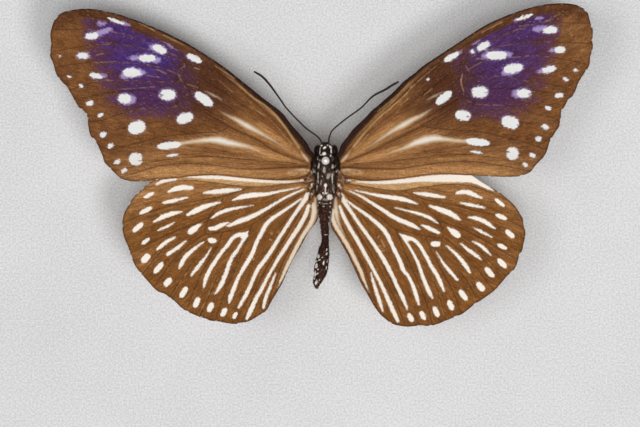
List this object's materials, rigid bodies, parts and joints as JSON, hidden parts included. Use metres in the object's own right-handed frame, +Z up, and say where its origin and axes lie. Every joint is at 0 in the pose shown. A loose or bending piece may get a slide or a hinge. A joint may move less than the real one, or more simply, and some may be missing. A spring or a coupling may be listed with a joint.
{
  "type": "pinned butterfly specimen",
  "caption": "Spread butterfly on an insect pin: brown wings with violet fronts, white dots and pale streaks, dark slender body, antennae and folded legs.",
  "frame": {"origin": "the point of the insect pin", "axes": "+Z up the pin to its head, +X towards the specimen's right wing as seen from above, +Y towards its head"},
  "size_m": [0.0907, 0.0541, 0.038],
  "materials": {
    "forewing_scales": "matt dark brown scales with a violet gloss over the outer half, white spots and cream streaks",
    "hindwing_scales": "matt warm brown scales with white streaks between the veins and two rows of white dots",
    "body_scales": "blackish brown scales and short hair with grey-white flecks",
    "eyes": "dark brown, finely faceted, slightly glossy",
    "horn": "dark horn of the antennae, legs, tongue and palps",
    "pin_steel": "bright plated pin with a round head"
  },
  "bodies": {
    "root": {"pin": "pin_steel", "thorax": "body_scales", "head": "body_scales", "abdomen": "body_scales", "eye_left": "eyes", "eye_right": "eyes", "palp_left": "horn", "palp_right": "horn", "proboscis": "horn", "antenna_left": "horn", "antenna_right": "horn", "foreleg_left": "horn", "foreleg_right": "horn", "midleg_left": "horn", "midleg_right": "horn", "hindleg_left": "horn", "hindleg_right": "horn", "forewing_left": "forewing_scales", "forewing_right": "forewing_scales", "hindwing_left": "hindwing_scales", "hindwing_right": "hindwing_scales"}
  },
  "joints": []
}
